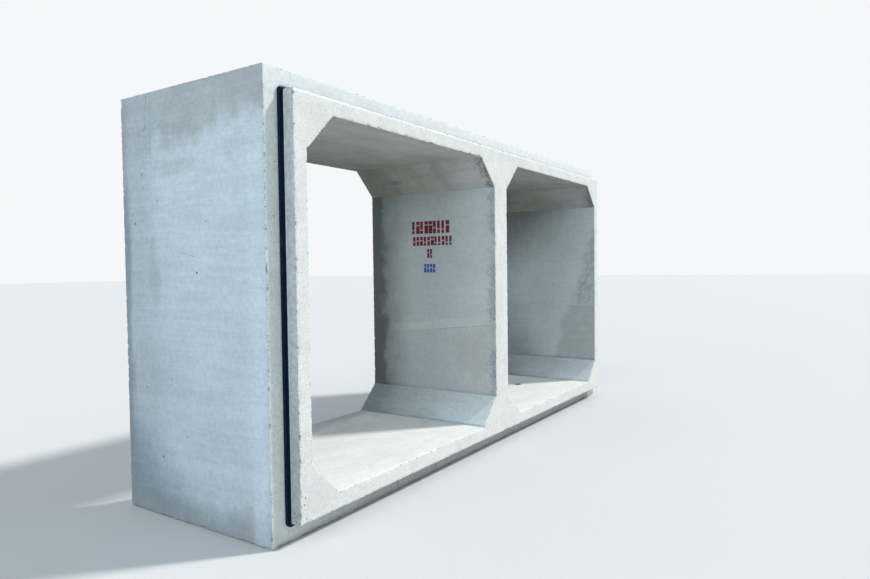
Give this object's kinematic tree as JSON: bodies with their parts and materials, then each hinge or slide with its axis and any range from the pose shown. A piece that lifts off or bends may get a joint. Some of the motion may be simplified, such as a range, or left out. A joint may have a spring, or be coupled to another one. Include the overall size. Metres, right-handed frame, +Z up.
{
  "type": "twin-cell precast box culvert section",
  "caption": "Precast concrete box culvert section with side-by-side haunched cells, a spigot end with a rubber seal, a socket end and cast-in lifting loops.",
  "frame": {"origin": "middle of the flat underside that the unit rests on", "axes": "+X across the cells, +Y along the flow from the spigot end to the socket end, +Z up"},
  "size_m": [4.6, 1.292, 2.5051],
  "materials": {
    "concrete": "smooth formed concrete with fine pores, stains and chipped arrises",
    "seal_rubber": "matt black rubber with a little dust",
    "loop_steel": "plain round steel bar, rusty, with cement splashes"
  },
  "bodies": {
    "root": {"culvert_body": "concrete", "joint_seal": "seal_rubber", "lifting_loop_front_left": "loop_steel", "lifting_loop_front_right": "loop_steel", "lifting_loop_rear_left": "loop_steel", "lifting_loop_rear_right": "loop_steel"}
  },
  "joints": []
}
